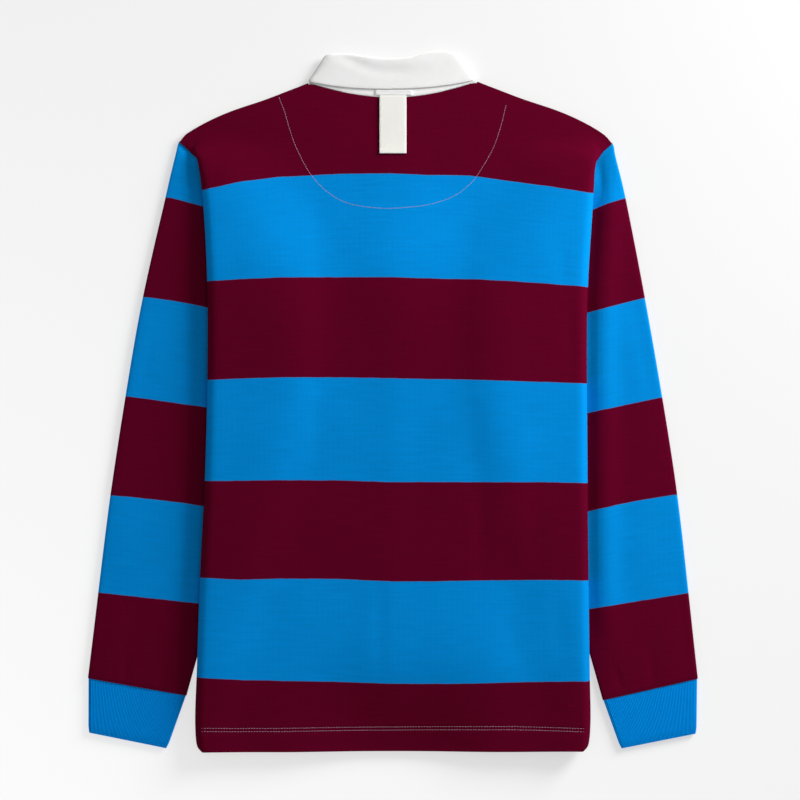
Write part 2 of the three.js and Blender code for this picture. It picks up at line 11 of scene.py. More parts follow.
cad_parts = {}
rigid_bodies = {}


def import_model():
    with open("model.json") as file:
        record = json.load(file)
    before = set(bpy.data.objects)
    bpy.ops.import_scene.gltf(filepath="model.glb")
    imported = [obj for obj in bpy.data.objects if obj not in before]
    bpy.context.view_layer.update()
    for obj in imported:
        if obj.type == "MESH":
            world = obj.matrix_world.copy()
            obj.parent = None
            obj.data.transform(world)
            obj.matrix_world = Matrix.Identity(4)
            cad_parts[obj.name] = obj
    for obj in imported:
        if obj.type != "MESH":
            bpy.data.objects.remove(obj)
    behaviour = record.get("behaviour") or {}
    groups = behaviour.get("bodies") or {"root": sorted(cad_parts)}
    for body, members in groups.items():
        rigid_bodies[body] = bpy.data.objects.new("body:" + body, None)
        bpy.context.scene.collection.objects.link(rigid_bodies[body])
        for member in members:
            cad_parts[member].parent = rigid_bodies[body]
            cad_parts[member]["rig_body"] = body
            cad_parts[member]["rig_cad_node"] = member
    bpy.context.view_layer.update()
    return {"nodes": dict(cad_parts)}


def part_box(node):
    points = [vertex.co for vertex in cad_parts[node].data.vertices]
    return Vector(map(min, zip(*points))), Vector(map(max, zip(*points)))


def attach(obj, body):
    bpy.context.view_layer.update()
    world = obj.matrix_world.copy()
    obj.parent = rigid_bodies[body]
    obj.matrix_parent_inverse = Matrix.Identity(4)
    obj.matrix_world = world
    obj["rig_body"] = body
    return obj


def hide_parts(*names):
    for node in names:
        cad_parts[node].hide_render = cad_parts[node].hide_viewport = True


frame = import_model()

mm = 0.001


# small tools that every piece uses
def deselectAll():
    if bpy.context.mode != "OBJECT":
        bpy.ops.object.mode_set(mode="OBJECT")
    bpy.ops.object.select_all(action="DESELECT")


def makeActive(piece):
    deselectAll()
    piece.select_set(True)
    bpy.context.view_layer.objects.active = piece


def pointsOf(piece):
    flat = np.zeros(len(piece.data.vertices) * 3)
    piece.data.vertices.foreach_get("co", flat)
    return flat.reshape(-1, 3)


def setPoints(piece, points):
    piece.data.vertices.foreach_set("co", points.ravel())
    piece.data.update()


def meshPiece(name, points, faces):
    mesh = bpy.data.meshes.new(name)
    mesh.from_pydata([tuple(p) for p in points], [], [tuple(int(i) for i in f) for f in faces])
    mesh.update()
    piece = bpy.data.objects.new(name, mesh)
    bpy.context.scene.collection.objects.link(piece)
    return piece


def smoothShade(piece, angle=50):
    makeActive(piece)
    bpy.ops.object.shade_smooth_by_angle(angle=math.radians(angle))
    deselectAll()


def applyAll(piece):
    makeActive(piece)
    for modifier in list(piece.modifiers):
        bpy.ops.object.modifier_apply(modifier=modifier.name)
    deselectAll()


def ease(value, start, end):
    share = np.clip((value - start) / (end - start), 0, 1)
    return share * share * (3 - 2 * share)


def treeOf(piece):
    faces = [tuple(f.vertices) for f in piece.data.polygons]
    return BVHTree.FromPolygons([v.co for v in piece.data.vertices], faces)


def heightAt(tree, x, y, fromAbove=True):
    way = -1 if fromAbove else 1
    hit = tree.ray_cast(Vector((x, y, -way * 0.1)), Vector((0, 0, way)))[0]
    return None if hit is None else hit.z


# one dictionary for how the cloth of a CAD node is made finer
clothCopy = {"levels": 2, "rimAngle": 60, "rimRound": 0.35 * mm, "pairAngle": 75, "weld": 0.00002}


def copyOf(node, name, levels=clothCopy["levels"]):
    deselectAll()
    source = frame["nodes"][node]
    source.select_set(True)
    bpy.context.view_layer.objects.active = source
    bpy.ops.object.duplicate()
    piece = bpy.context.view_layer.objects.active
    piece.name = name
    piece.data.name = name
    piece.parent = None
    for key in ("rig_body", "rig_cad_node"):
        if key in piece:
            del piece[key]
    piece.data.materials.clear()
    bpy.ops.object.mode_set(mode="EDIT")
    bpy.ops.mesh.select_all(action="SELECT")
    bpy.ops.mesh.remove_doubles(threshold=clothCopy["weld"])
    angle = math.radians(clothCopy["pairAngle"])
    bpy.ops.mesh.tris_convert_to_quads(face_threshold=angle, shape_threshold=math.pi)
    bpy.ops.mesh.customdata_custom_splitnormals_clear()
    bpy.ops.mesh.select_mode(type="EDGE")
    bpy.ops.mesh.select_all(action="DESELECT")
    bpy.ops.mesh.edges_select_sharp(sharpness=math.radians(clothCopy["rimAngle"]))
    bpy.ops.transform.edge_crease(value=1)
    bpy.ops.object.mode_set(mode="OBJECT")
    if levels:
        finer = piece.modifiers.new("finer", "SUBSURF")
        finer.levels = levels
        finer.render_levels = levels
        applyAll(piece)
    return piece


def roundRim(piece, width=clothCopy["rimRound"]):
    bevel = piece.modifiers.new("round rim", "BEVEL")
    bevel.width = width
    bevel.segments = 2
    bevel.limit_method = "ANGLE"
    bevel.angle_limit = math.radians(clothCopy["rimAngle"])
    applyAll(piece)


def setClothMap(piece, across, along):
    layer = piece.data.uv_layers.new(name="cloth")
    corners = np.zeros(len(piece.data.loops), dtype=np.int32)
    piece.data.loops.foreach_get("vertex_index", corners)
    pairs = np.stack([across[corners], along[corners]], axis=1)
    layer.data.foreach_set("uv", pairs.ravel())
    for other in [u for u in piece.data.uv_layers if u.name != "cloth"]:
        piece.data.uv_layers.remove(other)


# each crease is a row: its middle's x and y, angle, length, width, height and bend, in mm and degrees
def creaseRise(creases, x, y):
    rise = np.zeros_like(x)
    for middleX, middleY, angle, length, width, height, bend in creases:
        turn = math.radians(angle)
        dx = x - middleX * mm
        dy = y - middleY * mm
        along = (dx * math.cos(turn) + dy * math.sin(turn)) / (length * mm)
        across = (dy * math.cos(turn) - dx * math.sin(turn)) / (width * mm)
        across = across - bend * along ** 2
        rise += height * mm * np.exp(-along ** 2 - across ** 2)
    return rise


def softWaves(x, y, size, depth, seed):
    wave = [noise.noise(Vector((a / size, b / size, seed))) for a, b in zip(x, y)]
    return depth * np.array(wave)


def nearShare(value, centre, width):
    return np.exp(-((value - centre) / width) ** 2)


# nodes and colours
def linear(hexText):
    parts = [int(hexText[i:i + 2], 16) / 255 for i in (0, 2, 4)]
    return tuple(c / 12.92 if c <= 0.04045 else ((c + 0.055) / 1.055) ** 2.4 for c in parts) + (1,)


def addNode(tree, kind, settings=None, links=None):
    node = tree.nodes.new(kind)
    for key, value in (settings or {}).items():
        if isinstance(key, int) or key[0].isupper():
            node.inputs[key].default_value = value
        else:
            setattr(node, key, value)
    for key, socket in (links or {}).items():
        tree.links.new(socket, node.inputs[key])
    return node


def addMath(tree, operation, links, values=None):
    return addNode(tree, "ShaderNodeMath", {"operation": operation, **(values or {})}, links)


def addShader(tree, settings, links):
    shader = addNode(tree, "ShaderNodeBsdfPrincipled", settings, links)
    addNode(tree, "ShaderNodeOutputMaterial", links={"Surface": shader.outputs[0]})


def emptyMaterial(name):
    material = bpy.data.materials.new(name)
    material.use_nodes = True
    material.node_tree.nodes.clear()
    return material, material.node_tree


def paint(piece, material):
    piece.data.materials.clear()
    piece.data.materials.append(material)


# Heavy cotton jersey, yarn dyed and knitted in hoops: matt and soft, with faint streaks along its courses
jersey = {
    "maroon": "58001f",
    "blue": "0083cf",
    "hoop": 106 * mm,
    "firstEdge": 73.5 * mm,  # from the hem up to the lowest hoop's edge
    "edgeSoft": 0.0035,
    "edgeWander": 0.5 * mm,
    "wanderSize": 18 * mm,
    "wale": 1.3 * mm,
    "course": 1.0 * mm,
    "streakLong": 34 * mm,
    "streakTall": 2.6 * mm,  # courses are too fine to show from here, so a streak spans a few of them
    "streakShare": 0.075,
    "patchSize": 140 * mm,
    "patchShare": 0.03,
    "lean": 1.6,  # how far a stitch's legs lean over
    "legShare": 0.5,
    "knitBump": {"Strength": 0.25, "Distance": 0.12 * mm},
    "yarnBump": {"Strength": 0.35, "Distance": 0.35 * mm},
    "roughness": 0.92,
    "specular": 0.03,
}


def jerseyMaterial():
    look = jersey
    material, tree = emptyMaterial("yarnDyedCottonJersey")
    cloth = addNode(tree, "ShaderNodeUVMap", {"uv_map": "cloth"})
    split = addNode(tree, "ShaderNodeSeparateXYZ", links={0: cloth.outputs[0]})
    wander = addNode(tree, "ShaderNodeTexNoise", {"Scale": 1 / look["wanderSize"], "Detail": 2},
                     {"Vector": cloth.outputs[0]})
    shift = addMath(tree, "MULTIPLY_ADD", {0: wander.outputs[0], 2: split.outputs[1]},
                    {1: 2 * look["edgeWander"]})
    start = 0.5 - (look["firstEdge"] + look["edgeWander"]) / look["hoop"]
    count = addMath(tree, "MULTIPLY_ADD", {0: shift.outputs[0]}, {1: 1 / look["hoop"], 2: start})
    swing = addMath(tree, "PINGPONG", {0: count.outputs[0]}, {1: 1})
    hoopShare = addNode(tree, "ShaderNodeMapRange",
                        {"From Min": 0.5 - look["edgeSoft"], "From Max": 0.5 + look["edgeSoft"]},
                        {"Value": swing.outputs[0]})
    mixedColour = addNode(tree, "ShaderNodeMix",
                  {"data_type": "RGBA", 6: linear(look["maroon"]), 7: linear(look["blue"])},
                  {0: hoopShare.outputs[0]})

    # uneven yarn along the courses, and broad patches where the cloth has faded a little
    stretched = addNode(tree, "ShaderNodeMapping",
                        {"Scale": (1 / look["streakLong"], 1 / look["streakTall"], 1)},
                        {"Vector": cloth.outputs[0]})
    streak = addNode(tree, "ShaderNodeTexNoise", {"Scale": 1, "Detail": 3, "Roughness": 0.65},
                     {"Vector": stretched.outputs[0]})
    streakShade = addNode(tree, "ShaderNodeMapRange",
                          {"From Min": 0.25, "From Max": 0.75,
                           "To Min": 1 - look["streakShare"], "To Max": 1 + look["streakShare"]},
                          {"Value": streak.outputs[0]})
    patch = addNode(tree, "ShaderNodeTexNoise", {"Scale": 1 / look["patchSize"], "Detail": 2},
                    {"Vector": cloth.outputs[0]})
    patchShade = addNode(tree, "ShaderNodeMapRange",
                         {"From Min": 0.3, "From Max": 0.7,
                          "To Min": 1 - look["patchShare"], "To Max": 1 + look["patchShare"]},
                         {"Value": patch.outputs[0]})
    shade = addMath(tree, "MULTIPLY", {0: streakShade.outputs[0], 1: patchShade.outputs[0]})
    colour = addNode(tree, "ShaderNodeVectorMath", {"operation": "SCALE"},
                     {0: mixedColour.outputs[2], "Scale": shade.outputs[0]})

    # the stitches of the knit: wales run up the cloth and courses run across
    waleTurn = addMath(tree, "MULTIPLY", {0: split.outputs[0]}, {1: 2 * math.pi / look["wale"]})
    courseTurn = addMath(tree, "MULTIPLY", {0: split.outputs[1]}, {1: 2 * math.pi / look["course"]})
    wale = addMath(tree, "COSINE", {0: waleTurn.outputs[0]})
    lean = addMath(tree, "MULTIPLY_ADD", {0: wale.outputs[0], 2: courseTurn.outputs[0]}, {1: look["lean"]})
    course = addMath(tree, "SINE", {0: lean.outputs[0]})
    knit = addMath(tree, "MULTIPLY_ADD", {0: course.outputs[0], 2: wale.outputs[0]}, {1: look["legShare"]})
    knitBump = addNode(tree, "ShaderNodeBump", look["knitBump"], {"Height": knit.outputs[0]})
    yarnBump = addNode(tree, "ShaderNodeBump", look["yarnBump"],
                       {"Height": streak.outputs[0], "Normal": knitBump.outputs[0]})
    addShader(tree, {"Roughness": look["roughness"], "Specular IOR Level": look["specular"]},
              {"Base Color": colour.outputs[0], "Normal": yarnBump.outputs[0]})
    return material


# Cotton rib knitted in one colour: the ribs are in the mesh, and the courses cross them. The darker groove
# colour is painted shade between the ribs
rib = {
    "blue": "008ee4",
    # painted shade: the grooves between the ribs take this darker colour
    "groove": "0071be",
    "course": 1.1 * mm,
    "courseShare": 0.4,
    "yarn": 2.4 * mm,
    "yarnShare": 0.05,
    "bump": {"Strength": 0.3, "Distance": 0.15 * mm},
    "roughness": 0.92,
    "specular": 0.03,
}


def ribMaterial():
    look = rib
    material, tree = emptyMaterial("ribKnitCotton")
    cloth = addNode(tree, "ShaderNodeUVMap", {"uv_map": "cloth"})
    split = addNode(tree, "ShaderNodeSeparateXYZ", links={0: cloth.outputs[0]})
    turn = addMath(tree, "MULTIPLY", {0: split.outputs[1]}, {1: 2 * math.pi / look["course"]})
    course = addMath(tree, "SINE", {0: turn.outputs[0]})
    yarn = addNode(tree, "ShaderNodeTexNoise", {"Scale": 1 / look["yarn"], "Detail": 3},
                   {"Vector": cloth.outputs[0]})
    height = addMath(tree, "MULTIPLY_ADD", {0: course.outputs[0], 2: yarn.outputs[0]},
                     {1: look["courseShare"]})
    # painted shade: the colour darkens towards the groove colour where the rib is low
    depth = addNode(tree, "ShaderNodeAttribute", {"attribute_name": "ribHeight"})
    mixedColour = addNode(tree, "ShaderNodeMix",
                  {"data_type": "RGBA", 6: linear(look["groove"]), 7: linear(look["blue"])},
                  {0: depth.outputs["Fac"]})
    shade = addNode(tree, "ShaderNodeMapRange",
                    {"From Min": 0.25, "From Max": 0.75,
                     "To Min": 1 - look["yarnShare"], "To Max": 1 + look["yarnShare"]},
                    {"Value": yarn.outputs[0]})
    colour = addNode(tree, "ShaderNodeVectorMath", {"operation": "SCALE"},
                     {0: mixedColour.outputs[2], "Scale": shade.outputs[0]})
    bump = addNode(tree, "ShaderNodeBump", look["bump"], {"Height": height.outputs[0]})
    addShader(tree, {"Roughness": look["roughness"], "Specular IOR Level": look["specular"]},
              {"Base Color": colour.outputs[0], "Normal": bump.outputs[0]})
    return material


# Woven cotton twill, bleached or left ecru: diagonal ribs 0.8 mm apart on a matt ground
twills = {
    "collarTwill": {"name": "bleachedCottonTwill", "colour": "eeeeee", "shadow": "e9e9e7"},
    "tabTwill": {"name": "ecruCottonTwill", "colour": "efefe9", "shadow": "e7e7df"},
}
twillRib = {
    "pitch": 0.8 * mm,
    "ribShare": 0.12,
    "mottle": 9 * mm,
    "bump": {"Strength": 0.3, "Distance": 0.1 * mm},
    "roughness": 0.85,
    "specular": 0.2,
    "through": 0.35,  # white cotton glows a little from the light that passes through it
    "depth": 2.5 * mm,
    "radius": (1, 1, 0.95),
}


def twillMaterial(kind):
    look = twills[kind]
    material, tree = emptyMaterial(look["name"])
    place = addNode(tree, "ShaderNodeTexCoord")
    split = addNode(tree, "ShaderNodeSeparateXYZ", links={0: place.outputs["Object"]})
    slant = addMath(tree, "ADD", {0: split.outputs[0], 1: split.outputs[1]})
    turn = addMath(tree, "MULTIPLY", {0: slant.outputs[0]}, {1: 2 * math.pi / twillRib["pitch"]})
    ribs = addMath(tree, "SINE", {0: turn.outputs[0]})
    mottle = addNode(tree, "ShaderNodeTexNoise", {"Scale": 1 / twillRib["mottle"], "Detail": 4},
                     {"Vector": place.outputs["Object"]})
    # the darker shadow colour is partly painted shade in the ribs' valleys and partly mottle that varies
    # the tone at random
    share = addMath(tree, "MULTIPLY_ADD", {0: ribs.outputs[0], 2: mottle.outputs[0]},
                    {1: twillRib["ribShare"]})
    colour = addNode(tree, "ShaderNodeMix",
                     {"data_type": "RGBA", 6: linear(look["shadow"]), 7: linear(look["colour"])},
                     {0: share.outputs[0]})
    bump = addNode(tree, "ShaderNodeBump", twillRib["bump"], {"Height": ribs.outputs[0]})
    addShader(tree,
              {"Roughness": twillRib["roughness"], "Specular IOR Level": twillRib["specular"],
               "Subsurface Weight": twillRib["through"], "Subsurface Radius": twillRib["radius"],
               "Subsurface Scale": twillRib["depth"]},
              {"Base Color": colour.outputs[2], "Normal": bump.outputs[0]})
    return material


# Spun polyester sewing thread: slightly shiny, twisted
threads = {
    "mauveThread": {"name": "mauvePolyesterThread", "colour": "a4849c"},
    "whiteThread": {"name": "whitePolyesterThread", "colour": "ecece8"},
}
threadTwist = {
    "size": 0.6 * mm,
    "dark": 0.8,
    "light": 1.15,
    "bump": {"Strength": 0.3, "Distance": 0.08 * mm},
    "roughness": 0.55,
    "specular": 0.35,
}


def threadMaterial(kind):
    look = threads[kind]
    material, tree = emptyMaterial(look["name"])
    place = addNode(tree, "ShaderNodeTexCoord")
    twist = addNode(tree, "ShaderNodeTexNoise", {"Scale": 1 / threadTwist["size"], "Detail": 2},
                    {"Vector": place.outputs["Object"]})
    shade = addNode(tree, "ShaderNodeMapRange",
                    {"To Min": threadTwist["dark"], "To Max": threadTwist["light"]},
                    {"Value": twist.outputs[0]})
    colour = addNode(tree, "ShaderNodeVectorMath", {"operation": "SCALE", 0: linear(look["colour"])[:3]},
                     {"Scale": shade.outputs[0]})
    bump = addNode(tree, "ShaderNodeBump", threadTwist["bump"], {"Height": twist.outputs[0]})
    addShader(tree, {"Roughness": threadTwist["roughness"], "Specular IOR Level": threadTwist["specular"]},
              {"Base Color": colour.outputs[0], "Normal": bump.outputs[0]})
    return material


# Moulded white rubber, satin from the mould with a faint cloudiness
rubber = {
    "shadow": "dcdcd6",
    "colour": "e8e8e4",
    "cloud": 3 * mm,
    "smoothest": 0.42,
    "roughest": 0.58,
    "ior": 1.52,
}


def rubberMaterial():
    material, tree = emptyMaterial("mouldedWhiteRubber")
    place = addNode(tree, "ShaderNodeTexCoord")
    cloud = addNode(tree, "ShaderNodeTexNoise", {"Scale": 1 / rubber["cloud"], "Detail": 3},
                    {"Vector": place.outputs["Object"]})
    colour = addNode(tree, "ShaderNodeMix",
                     {"data_type": "RGBA", 6: linear(rubber["shadow"]), 7: linear(rubber["colour"])},
                     {0: cloud.outputs[0]})
    rough = addNode(tree, "ShaderNodeMapRange",
                    {"To Min": rubber["smoothest"], "To Max": rubber["roughest"]},
                    {"Value": cloud.outputs[0]})
    addShader(tree, {"IOR": rubber["ior"]},
              {"Base Color": colour.outputs[2], "Roughness": rough.outputs[0]})
    return material


finishes = {
    "jersey": jerseyMaterial(),
    "rib": ribMaterial(),
    "collarTwill": twillMaterial("collarTwill"),
    "tabTwill": twillMaterial("tabTwill"),
    "mauveThread": threadMaterial("mauveThread"),
    "whiteThread": threadMaterial("whiteThread"),
    "rubber": rubberMaterial(),
}
print("materials made:", len(finishes))


# where the hoops' edges lie on the body, in mm: how high each is at every place across, from fold to fold
bodyHoops = {
    "across": [-200, -163, -120, -56, -1, 40, 82, 125, 167, 208],
    "edges": {
        "hem": [-373.1, -373.7, -373.7, -373.3, -373.1, -372.6, -372.1, -371.7, -372.6, -373.7],
        "edge 6": [-293.3, -295.6, -296.8, -298.3, -300.1, -300.2, -299.8, -298.6, -297.6, -297.0],
        "edge 5": [-187.6, -189.4, -188.5, -188.9, -191.5, -191.4, -190.5, -190.0, -189.7, -190.5],
        "edge 4": [-85.0, -84.5, -84.1, -84.5, -86.1, -86.1, -86.1, -86.1, -86.2, -87.2],
        "edge 3": [21.7, 23.2, 24.6, 24.6, 23.8, 22.8, 22.2, 20.9, 19.5, 18.1],
        "edge 2": [126.4, 128.5, 130.6, 131.1, 130.9, 129.5, 128.8, 126.6, 123.6, 120.5],
        "edge 1": [223.4, 232.0, 238.2, 241.5, 241.9, 240.3, 239.8, 233.4, 227.3, 220.4],
    },
}

# each sleeve's edges from the cuff up, in mm, by their ends and how far they bow up between them
sleeveHoops = {
    "left": {
        "cuff": {"outer": (-324.7, -296.5), "inner": (-219.3, -315.1), "bow": 5},
        "edge 6": {"outer": (-314.1, -204.3), "inner": (-210.8, -215.5), "bow": 0},
        "edge 5": {"outer": (-299.2, -101.0), "inner": (-205.4, -111.7), "bow": 0.8},
        "edge 4": {"outer": (-280, 4.4), "inner": (-200.1, -6.8), "bow": 0},
        "edge 3": {"outer": (-267.2, 110.4), "inner": (-200.1, 99.7), "bow": 1.2},
        "edge 2": {"outer": (-237.4, 216.3), "inner": (-203.3, 207.3), "bow": 0.3},
    },
    "right": {
        "cuff": {"outer": (324.9, -297.5), "inner": (222.7, -316.2), "bow": 3},
        "edge 6": {"outer": (314.3, -204.9), "inner": (212, -221.4), "bow": 0},
        "edge 5": {"outer": (302.6, -100.0), "inner": (212, -117.0), "bow": 1.2},
        "edge 4": {"outer": (284.5, 3.3), "inner": (212, -12.1), "bow": 0},
        "edge 3": {"outer": (268.5, 109.3), "inner": (212, 94.9), "bow": 0.3},
        "edge 2": {"outer": (248.3, 215.8), "inner": (212, 203.2), "bow": 1},
    },
}
hoopMap = {
    "foldX": 208 * mm,
    "sideFrom": 100 * mm,
    "layerStep": 2.4 * mm,  # cloth this far below the top layer is folded under
    "pastInner": 0.15,
    "lowestBand": 95 * mm,  # from a cuff up to the sleeve's first edge
}


# lines holds each hoop edge's height at every point; the result counts metres up the cloth
def alongFrom(lines, y, lowest):
    marks = [lowest] + [jersey["firstEdge"] + k * jersey["hoop"] for k in range(len(lines) - 1)]
    along = np.full_like(y, lowest) + (y - lines[0])
    for k in range(1, len(lines)):
        share = (y - lines[k - 1]) / (lines[k] - lines[k - 1])
        inside = y >= lines[k - 1]
        along = np.where(inside, marks[k - 1] + share * (marks[k] - marks[k - 1]), along)
    above = y >= lines[-1]
    return np.where(above, marks[-1] + (y - lines[-1]), along)


def hoopEdge(name, x):
    return np.interp(x, np.array(bodyHoops["across"]) * mm, np.array(bodyHoops["edges"][name]) * mm)


def mapBody(piece):
    points = pointsOf(piece)
    tree = treeOf(piece)
    tops = [heightAt(tree, p[0], p[1]) for p in points]
    under = np.array([top is not None and top - p[2] > hoopMap["layerStep"]
                      for top, p in zip(tops, points)])
    side = np.sign(points[:, 0])
    under &= np.abs(points[:, 0]) > hoopMap["sideFrom"]
    foldX = side * hoopMap["foldX"]
    x = np.where(under, foldX, points[:, 0])
    lines = [hoopEdge(name, x) for name in bodyHoops["edges"]]
    across = np.where(under, 2 * foldX - points[:, 0], points[:, 0])
    setClothMap(piece, across, alongFrom(lines, points[:, 1], 0.0))


def mapSleeve(piece, side):
    points = pointsOf(piece)
    lines = []
    for edge in sleeveHoops[side].values():
        (outerX, outerY), (innerX, innerY) = edge["outer"], edge["inner"]
        share = (points[:, 0] - innerX * mm) / ((outerX - innerX) * mm)
        share = np.clip(share, -hoopMap["pastInner"], 1)
        line = innerY + share * (outerY - innerY) + 4 * edge["bow"] * share * (1 - share)
        lines.append(line * mm)
    lowest = jersey["firstEdge"] - hoopMap["lowestBand"]
    setClothMap(piece, points[:, 0], alongFrom(lines, points[:, 1], lowest))


# Body: the back lies on top, the front under it, and both fold under at the sides. A pair says where
# something starts and where it is full
body = {
    "hemRows": [26.0 * mm, 22.6 * mm],  # twin needle rows, up from the hem
    "hemEnd": 206.5 * mm,
    "hemBand": (-366 * mm, -333 * mm),  # made finer for its grooves and puckers
    "hemCuts": 3,
    "hemGroove": 0.3 * mm,
    "hemGrooveWidth": 1.5 * mm,
    "hemPucker": {"size": 15 * mm, "depth": 0.18 * mm, "up": 18 * mm, "wide": 12 * mm},
    "waveSize": 55 * mm,
    "waveDepth": 0.35 * mm,
    "topLayer": (1.8 * mm, 3 * mm),  # how far below the top the creases fade
    "calmEdge": 8 * mm,  # no creases at the folded edge and along the shoulder
    "calmShoulder": (0.255, 0.264),
    "rayStep": 0.2 * mm,
    "underside": 3.8 * mm,  # of the folded sides, over a sleeve
    "undersideEnds": (20 * mm, 85 * mm),
    "edgeRoll": 0.2,
    "edgeRollWide": 9 * mm,
    "edgeRollPast": 3 * mm,
    "edgeRollEnds": (0.235, 0.262),
    "swell": 0.4,  # the cloth lies plump over the sleeves, and more so in the middle
    "swellEnds": (0.12, 0.262),
    "hemSwellShare": 0.4,
    "hemSwellEnds": (-0.37, -0.27),
    "middleSwell": 0.4,
    "middleX": 8 * mm,
    "middleWide": (30 * mm, 150 * mm),
    "middleEnds": (-0.374, -0.24),
    "frontFlat": (90 * mm, 140 * mm),
    "creases": [
        (179, 147, 109, 19, 4, -0.75, 0.8),
        (187, 69, 92, 46, 6, -0.6, 0),
        (109, 50, 8, 34, 19, -0.6, 0),
        (94, -138, 90, 48, 9, -0.6, 0),
        (153, -138, 91, 48, 12, -0.6, 0),
        (132, -263, 118, 26, 7, -0.5, 0),
        (178, -250, 97, 36, 9, -0.5, 0),
        (167, -323, 135, 14, 4, -0.5, 0),
        (-14, -242, 90, 44, 6, -0.4, 0),
        (-189, 238, 64, 20, 6, -0.4, 0),
        (-214, 269, 62, 7, 3, -1.4, 0),
        (219, 269, 118, 7, 3, -0.7, 0),
    ],
}


def finerBand(piece, low, high, cuts):
    makeActive(piece)
    bpy.ops.object.mode_set(mode="EDIT")
    bpy.ops.mesh.select_mode(type="FACE")
    bpy.ops.mesh.select_all(action="DESELECT")
    bpy.ops.object.mode_set(mode="OBJECT")
    for face in piece.data.polygons:
        face.select = low < face.center.y < high
    bpy.ops.object.mode_set(mode="EDIT")
    bpy.ops.mesh.subdivide(number_cuts=cuts)
    bpy.ops.object.mode_set(mode="OBJECT")
    deselectAll()


# how far out the folded sides lie, row by row up the body
edgeLevels = {"lowest": -0.374, "highest": 0.28, "step": 0.012}


def sideEdges(points):
    rows = []
    for level in np.arange(edgeLevels["lowest"], edgeLevels["highest"], edgeLevels["step"]):
        near = points[np.abs(points[:, 1] - level) < edgeLevels["step"]]
        if len(near):
            rows.append((level, -near[:, 0].min(), near[:, 0].max()))
    rows = np.array(rows)
    for k in range(1, len(rows) - 1):  # a level without points at the edge takes its neighbours' reach
        rows[k, 1:] = np.maximum(rows[k, 1:], np.minimum(rows[k - 1, 1:], rows[k + 1, 1:]))
    return rows


# small pulls at the shoulder corners, all in mm
shoulderPulls = [
    {"x": 232.2, "y": 277.2, "across": 2.3, "up": -3.3, "reach": 11},
    {"x": 215.6, "y": 256.1, "across": 0.8, "up": -3.0, "reach": 11},
    {"x": -227.3, "y": 277.2, "across": -0.8, "up": -1.6, "reach": 8},
]


def pullShoulders(points):
    plan = points[:, :2].copy()
    for pull in shoulderPulls:
        away = np.hypot(plan[:, 0] - pull["x"] * mm, plan[:, 1] - pull["y"] * mm)
        share = np.exp(-(away / (pull["reach"] * mm)) ** 2)
        points[:, 0] += pull["across"] * mm * share
        points[:, 1] += pull["up"] * mm * share


# a plain copy of the back gives the sides' reach and the height of its underside
plainBack = copyOf("back", "plainBack", 1)
edgeRows = sideEdges(pointsOf(plainBack))
backUnder = treeOf(plainBack)
bpy.data.objects.remove(plainBack, do_unlink=True)


def bodyPiece(node, name):
    piece = copyOf(node, name)
    finerBand(piece, body["hemBand"][0], body["hemBand"][1], body["hemCuts"])
    points = pointsOf(piece)
    x, y = points[:, 0], points[:, 1]
    tree = treeOf(piece)
    tops = np.array([heightAt(tree, p[0], p[1]) or p[2] for p in points])
    onTop = 1 - ease(tops - points[:, 2], *body["topLayer"])
    inFromEdge = np.interp(y, edgeRows[:, 0], edgeRows[:, 1]) * (x < 0)
    inFromEdge += np.interp(y, edgeRows[:, 0], edgeRows[:, 2]) * (x >= 0)
    inFromEdge -= np.abs(x)
    edgeCalm = np.maximum(ease(inFromEdge, 0, body["calmEdge"]), ease(y, *body["calmShoulder"]))
    up = y - hoopEdge("hem", x)
    pucker = body["hemPucker"]
    rise = creaseRise(body["creases"], x, y) * edgeCalm
    rise += softWaves(x, y, body["waveSize"], body["waveDepth"], 3.7) * edgeCalm
    atHem = nearShare(up, pucker["up"], pucker["wide"])
    rise += softWaves(x, y, pucker["size"], pucker["depth"], 9.1) * atHem
    points[:, 2] += rise * onTop
    # heights grow from the body's underside; two rays a point, as one may slip between two faces
    floorZ = np.array([max(heightAt(backUnder, p[0] + way, p[1] + way, False) or 0
                           for way in (-body["rayStep"], body["rayStep"])) for p in points])
    floorZ = np.minimum(floorZ, body["underside"] * (1 - ease(inFromEdge, *body["undersideEnds"])))
    roll = body["edgeRoll"] * (1 - ease(inFromEdge, -body["edgeRollPast"], body["edgeRollWide"]))
    roll *= 1 - ease(y, *body["edgeRollEnds"])
    middle = 1 - ease(np.abs(x - body["middleX"]), *body["middleWide"])
    middle *= ease(y, *body["middleEnds"])
    swell = (body["swell"] + body["middleSwell"] * middle) * (1 - ease(y, *body["swellEnds"]))
    swell *= body["hemSwellShare"] + (1 - body["hemSwellShare"]) * ease(y, *body["hemSwellEnds"])
    if node == "front":
        swell *= ease(np.abs(x), *body["frontFlat"])  # its middle lies flat
    points[:, 2] = floorZ + (points[:, 2] - floorZ) * (1 - roll) * (1 + swell)
    for row in body["hemRows"]:
        groove = body["hemGroove"] * nearShare(up, row, body["hemGrooveWidth"])
        points[:, 2] -= groove * onTop
    points[:, 2] = np.maximum(points[:, 2], 0)  # it rests on the table
    pullShoulders(points)
    setPoints(piece, points)
    roundRim(piece)
    mapBody(piece)
    smoothShade(piece)
    paint(piece, finishes["jersey"])
    return piece


back = bodyPiece("back", "backPanel")
front = bodyPiece("front", "frontPanel")
print("body panels made:", len(back.data.polygons), "and", len(front.data.polygons), "faces")

